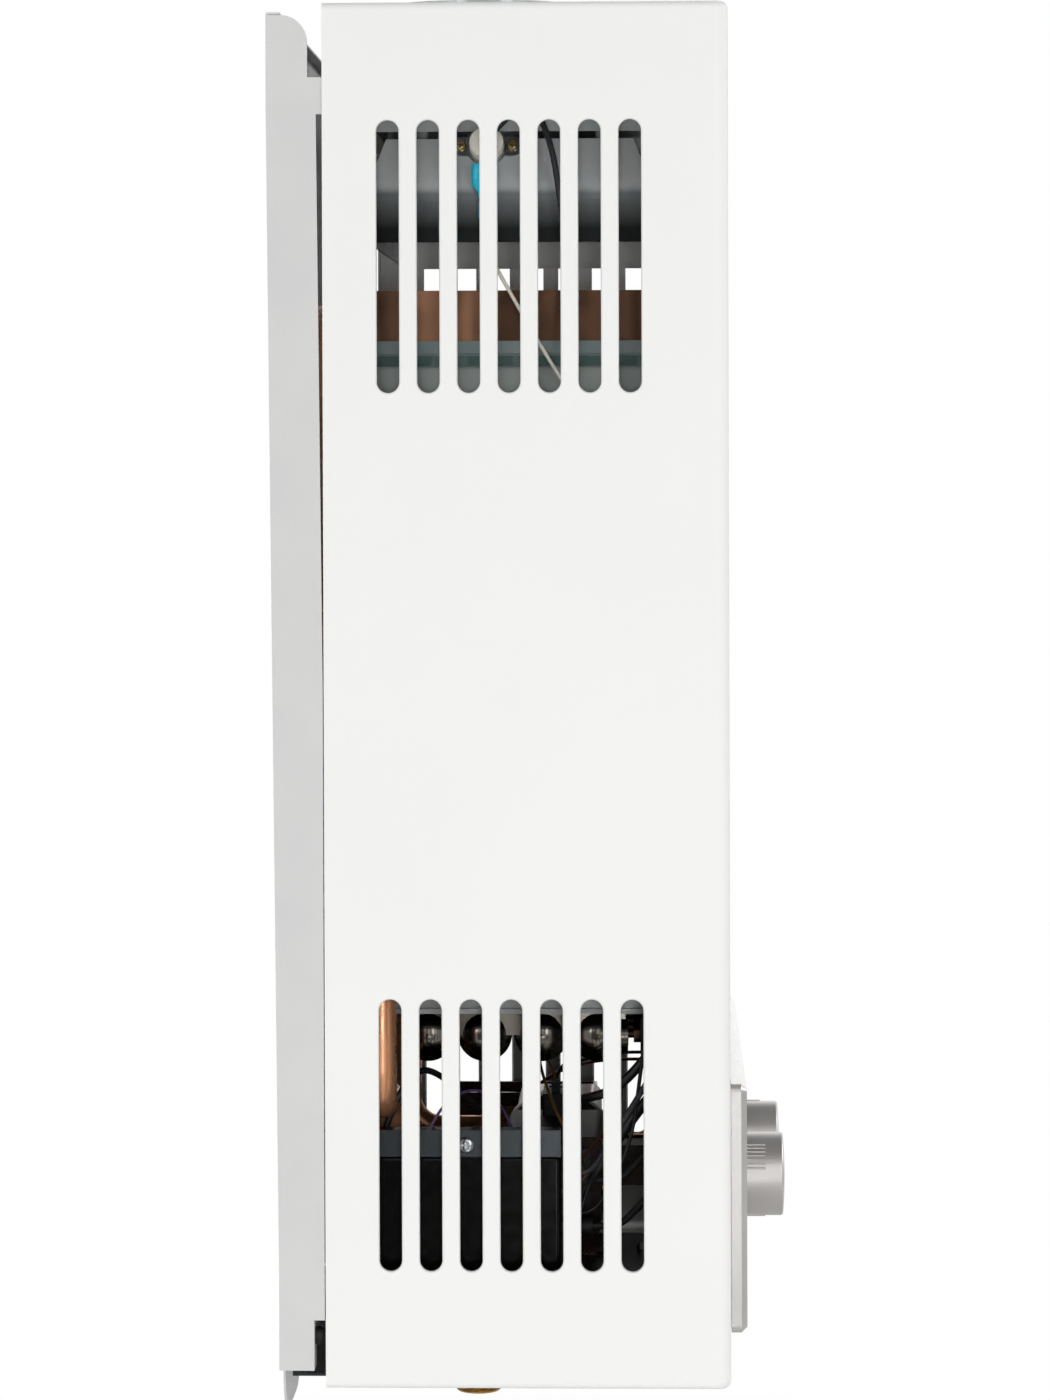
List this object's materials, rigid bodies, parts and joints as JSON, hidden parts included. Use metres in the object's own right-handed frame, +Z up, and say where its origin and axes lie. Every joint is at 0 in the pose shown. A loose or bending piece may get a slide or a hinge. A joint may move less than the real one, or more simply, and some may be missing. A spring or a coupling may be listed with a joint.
{
  "type": "gas water heater",
  "caption": "Wall-hung instantaneous gas water heater: slotted white steel case on a back plate, silver panel with two knobs, top flue collar and threaded connections below.",
  "frame": {"origin": "on the wall plane, midway between the two upper wall fixings", "axes": "+Z up, front faces -Y, +X to the right seen from the front"},
  "size_m": [0.37, 0.2232, 0.6214],
  "materials": {
    "case_enamel": "gloss",
    "galvanised_steel": "satin",
    "plate_paint": "satin",
    "rubber": "matte",
    "copper": "satin",
    "chamber_coating": "matte",
    "brass": "satin",
    "stainless": "satin",
    "die_cast": "matte",
    "ceramic": "matte",
    "silver_plastic": "satin",
    "black_plastic": "gloss",
    "grey_plastic": "matte",
    "display": "gloss",
    "board": "matte",
    "cell_jacket": "gloss",
    "cyan_sleeve": "gloss",
    "white_lead": "matte"
  },
  "bodies": {
    "heater": {"front_case": "case_enamel", "back_plate": "plate_paint", "case_buffers": "rubber", "bottom_plate": "galvanised_steel", "engine_brackets": "galvanised_steel", "self_tapping_screws": "stainless", "flue_collar": "galvanised_steel", "flue_hood": "galvanised_steel", "heat_shield": "galvanised_steel", "exchanger_shell": "copper", "exchanger_fins": "copper", "exchanger_tubes": "copper", "return_bends": "copper", "combustion_chamber": "chamber_coating", "cold_water_pipe": "copper", "hot_water_pipe": "copper", "pipe_union_nuts": "brass", "burner_frame": "galvanised_steel", "burner_blades": "stainless", "gas_manifold": "die_cast", "gas_nozzles": "brass", "spark_electrode": "ceramic", "flame_sensor": "ceramic", "electrode_bracket": "stainless", "gas_valve_body": "die_cast", "gas_connector": "brass", "poppet_spring": "stainless", "solenoid_coil": "black_plastic", "spindle_bonnets": "brass", "water_valve_body": "brass", "diaphragm_cover": "die_cast", "diaphragm": "rubber", "inlet_filter": "grey_plastic", "cold_water_connector": "brass", "hot_water_connector": "brass", "drain_plug": "grey_plastic", "valve_screws": "stainless", "microswitch": "black_plastic", "control_panel": "silver_plastic", "display_window": "display", "display_board": "board", "controller_bracket": "galvanised_steel", "ignition_controller": "black_plastic", "battery_box": "grey_plastic", "batteries": "cell_jacket", "battery_contacts": "stainless", "overheat_thermostat": "ceramic", "terminal_sleeve": "cyan_sleeve", "black_lead": "rubber", "white_lead": "white_lead", "ignition_leads": "rubber"},
    "gas_control": {"gas_knob": "silver_plastic", "gas_spindle": "brass"},
    "water_control": {"water_knob": "silver_plastic", "water_spindle": "brass"},
    "valve_rod": {"push_rod": "stainless", "gas_poppet": "rubber"},
    "lever": {"switch_lever": "stainless"},
    "plunger": {"solenoid_plunger": "stainless"},
    "door": {"battery_door": "grey_plastic"}
  },
  "joints": [
    {"name": "gas_knob_turn", "type": "hinge", "parent": "heater", "child": "gas_control", "pos_m": [-0.046, -0.21, -0.4964], "axis": [0, 1, 0], "range_deg": [0, 180]},
    {"name": "water_knob_turn", "type": "hinge", "parent": "heater", "child": "water_control", "pos_m": [0.046, -0.21, -0.4964], "axis": [0, 1, 0], "range_deg": [0, 270]},
    {"name": "valve_rod_slide", "type": "slide", "parent": "heater", "child": "valve_rod", "axis": [-1, 0, 0], "range_m": [0, 0.0035], "stiffness_N_per_m": 600, "springref_m": -0.002, "deforming": ["poppet_spring", "diaphragm"]},
    {"name": "switch_lever_turn", "type": "hinge", "parent": "heater", "child": "lever", "pos_m": [0.004, -0.118, -0.4664], "axis": [0, 1, 0], "range_deg": [0, 7.95]},
    {"name": "plunger_slide", "type": "slide", "parent": "heater", "child": "plunger", "axis": [-1, 0, 0], "range_m": [0, 0.0025], "stiffness_N_per_m": 400, "springref_m": -0.002},
    {"name": "battery_door_swing", "type": "hinge", "parent": "heater", "child": "door", "pos_m": [0.128, -0.058, -0.5675], "axis": [1, 0, 0], "range_deg": [0, 105]}
  ],
  "couplings": [
    {"joint": "switch_lever_turn", "follows": "valve_rod_slide", "rad_per_m": 39.2}
  ]
}
